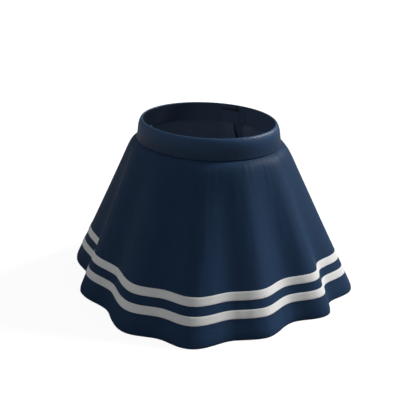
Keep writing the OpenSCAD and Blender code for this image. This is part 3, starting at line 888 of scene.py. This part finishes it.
def make_loop(name, side):
    path = smooth_path(loop_path, 120)
    across = np.linspace(-LOOP_W / 2, LOOP_W / 2, 9)
    cupped = 0.10 * (across / 3) ** 2
    hinge = side * (WAIST[0] + LOOP_IN - BAND_LEAN * LOOP_RISE / BAND_H) - MIDDLE[0]
    x = hinge - side * (path[:, :1] + cupped)
    y = np.broadcast_to(across * -side - MIDDLE[1], x.shape)
    z = np.broadcast_to(SKIRT_H + LOOP_RISE + path[:, 1:], x.shape)
    points = np.stack([x, y, z], -1)
    body = "loop_" + name.split("_")[-1]
    cloth(name + "_ribbon", points, ribbon_satin, 0.3, grows=BOTH_WAYS, body=body, slot="ribbon", nodes=[name])
    for edge, drop in (("high", 2.2), ("low", 3.5)):
        y = np.linspace(-2.6, 2.6, 12) * -side - MIDDLE[1]
        row = np.stack([np.full(12, hinge - side * 0.78), y, np.full(12, SKIRT_H + LOOP_RISE - drop)], -1)
        stitches(f"{name}_{edge}_stitches", row, np.tile([-side, 0, 0], (12, 1)), 1.7, 1.3, 0.13, navy_thread,
                 body=body, slot="ribbon")


make_loop("hanger_loop_left", 1)
make_loop("hanger_loop_right", -1)


# Labels: plain satin tabs, folded at the bottom, sewn inside the band

LABEL_CURVE = 0.0025


def make_label(name, width, drop, inward):
    turn = math.atan2(WAIST[1] * cosd(LABEL_ANGLE), -WAIST[0] * sind(LABEL_ANGLE))
    along = np.array([math.cos(turn), math.sin(turn), 0])
    inside = np.array([-math.sin(turn), math.cos(turn), 0])
    at = band_point(LABEL_ANGLE, LABEL_RISE, LABEL_IN)
    top = 0.4 * inward
    levels = -np.linspace(top, drop, 31)[:-1]
    path = np.array([(0.08, z) for z in levels] + [
        (0.08, 0.25 - drop), (0.13, 0.08 - drop), (0.25, -drop), (0.37, 0.08 - drop), (0.42, 0.25 - drop)]
        + [(0.42, z) for z in levels[::-1]])
    across = np.linspace(-width / 2, width / 2, 25)
    bend = 1.1 * ease((-path[:, 1:] - 19) / 26) + 0.10 * np.sin(across / 3.1 + path[:, 1:] / 9)
    bend = bend + LABEL_CURVE * across ** 2
    points = (
        at + along * across[None, :, None] + inside * (inward + path[:, :1] + bend)[..., None]
        + np.array([0, 0, 1]) * np.broadcast_to(path[:, 1:], bend.shape)[..., None])
    piece = cloth(name + "_satin", points, label_satin, 0.14, grows=BOTH_WAYS, body="labels", slot="label_satin",
                  nodes=[name])
    x = np.linspace(-width / 2 + 0.6, width / 2 - 0.6, 20)[:, None]
    row = at + along * x + inside * (inward + 0.52 + LABEL_CURVE * x ** 2) + np.array([0, 0, -1.4])
    stitches(name + "_stitches", row, np.tile(inside, (20, 1)), 2.2, 1.6, 0.13, white_thread, body="labels",
             slot="label_satin")


make_label("care_label", *CARE_LABEL)
make_label("size_label", *SIZE_LABEL)


# CAD nodes that keep their shape: metal with rounded edges

def finish_node(name, material, radius):
    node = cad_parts[name]
    node.data.materials.clear()
    node.data.materials.append(material)
    weld = node.modifiers.new("weld", "WELD")
    weld.merge_threshold = 0.002 * MM
    soften(node, radius)


for name, material, radius in (
        ("zip_slider", enamel, 0.22), ("zip_pull", enamel, 0.25), ("zip_top_stops", enamel, 0.3),
        ("zip_bottom_stop", enamel, 0.35), ("waist_hook", nickel, 0.15), ("waist_bar", nickel, 0.2)):
    finish_node(name, material, radius)


# Camera at the photograph's angle

AXIS = Vector((-MIDDLE[0], -MIDDLE[1], 0)) * MM
CAMERA_TURN, CAMERA_RISE = math.radians(31.96), math.radians(23.74)
CAMERA_AWAY = 1.314
VIEW_ANGLE = math.radians(30.0)
target = AXIS + Vector((0.0026, 0.0016, 0.1178))
back = Vector((
    math.sin(CAMERA_TURN) * math.cos(CAMERA_RISE), -math.cos(CAMERA_TURN) * math.cos(CAMERA_RISE),
    math.sin(CAMERA_RISE)))
camera = bpy.data.objects.new("camera", bpy.data.cameras.new("camera"))
camera.data.sensor_width = 36.0
camera.data.lens = camera.data.sensor_width / 2 / math.tan(VIEW_ANGLE / 2)
camera.location = target + back * CAMERA_AWAY
camera.rotation_mode = "QUATERNION"
camera.rotation_quaternion = (-back).to_track_quat("-Z", "Y")
bpy.context.scene.collection.objects.link(camera)
bpy.context.scene.camera = camera


# Light: a soft key from behind the camera's right, a weak fill from its left, and an even dim surround

def from_camera(turn, rise):
    """The direction towards a light, turned round from the camera towards its right, and raised."""
    turn = CAMERA_TURN + math.radians(turn)
    rise = math.radians(rise)
    return Vector((math.sin(turn) * math.cos(rise), -math.cos(turn) * math.cos(rise), math.sin(rise)))


def sun(name, turn, rise, strength, softness, colour):
    light = bpy.data.lights.new(name, "SUN")
    light.energy, light.angle, light.color = strength, math.radians(softness), colour
    lamp = bpy.data.objects.new(name, light)
    lamp.rotation_mode = "QUATERNION"
    lamp.rotation_quaternion = from_camera(turn, rise).to_track_quat("Z", "Y")
    lamp.visible_glossy = name != "fill"
    bpy.context.scene.collection.objects.link(lamp)


sun("key", 107, 35, 3.5, 14, (1.0, 0.99, 0.97))
sun("fill", -100, 15, 0.42, 60, (0.98, 0.99, 1.0))
sun("overhead", 0, 75, 0.2, 70, (0.98, 0.99, 1.0))

inside_light = bpy.data.lights.new("inside", "POINT")
inside_light.energy, inside_light.shadow_soft_size = 0.105, 0.05
inside_lamp = bpy.data.objects.new("inside", inside_light)
inside_lamp.location = AXIS + Vector((0, 0, 0.19))
bpy.context.scene.collection.objects.link(inside_lamp)


def seen_and_lit(tree, output, seen, lit):
    """Joins what is seen directly and what lights the skirt to the output."""
    direct = add(tree, "LightPath").outputs["Is Camera Ray"]
    mixed = add(tree, "MixShader", {0: direct, 1: lit, 2: seen}).outputs[0]
    tree.links.new(mixed, add(tree, output).inputs["Surface"])


def make_surround():
    world = bpy.data.worlds.new("surround")
    bpy.context.scene.world = world
    world.use_nodes = True
    tree = world.node_tree
    tree.nodes.clear()
    seen = add(tree, "Background", {"Color": (1, 1, 1, 1), "Strength": 1.0}).outputs[0]
    lit = add(tree, "Background", {"Color": (0.95, 0.98, 1, 1), "Strength": 0.17}).outputs[0]
    seen_and_lit(tree, "OutputWorld", seen, lit)


make_surround()


# Floor: near white to the eye, but it throws little light back up

FLOOR_HALF, FLOOR_LEVEL = 12.0, -0.0008


def make_floor():
    corners = [(x * FLOOR_HALF, y * FLOOR_HALF, FLOOR_LEVEL) for x, y in ((-1, -1), (1, -1), (1, 1), (-1, 1))]
    mesh = bpy.data.meshes.new("floor")
    mesh.from_pydata(corners, [], [(0, 1, 2, 3)])
    look = bpy.data.materials.new("pale_floor")
    look.use_nodes = True
    tree = look.node_tree
    tree.nodes.clear()
    dim = add(tree, "BsdfDiffuse", {"Color": (0.25, 0.25, 0.25, 1)}).outputs[0]
    glow = add(tree, "Emission", {"Color": (1, 1, 1, 1), "Strength": 0.9}).outputs[0]
    bright = add(tree, "AddShader", {0: dim, 1: glow}).outputs[0]
    seen_and_lit(tree, "OutputMaterial", bright, dim)
    mesh.materials.append(look)
    floor = bpy.data.objects.new("floor", mesh)
    bpy.context.scene.collection.objects.link(floor)


make_floor()

bpy.context.scene.view_settings.view_transform = "Standard"
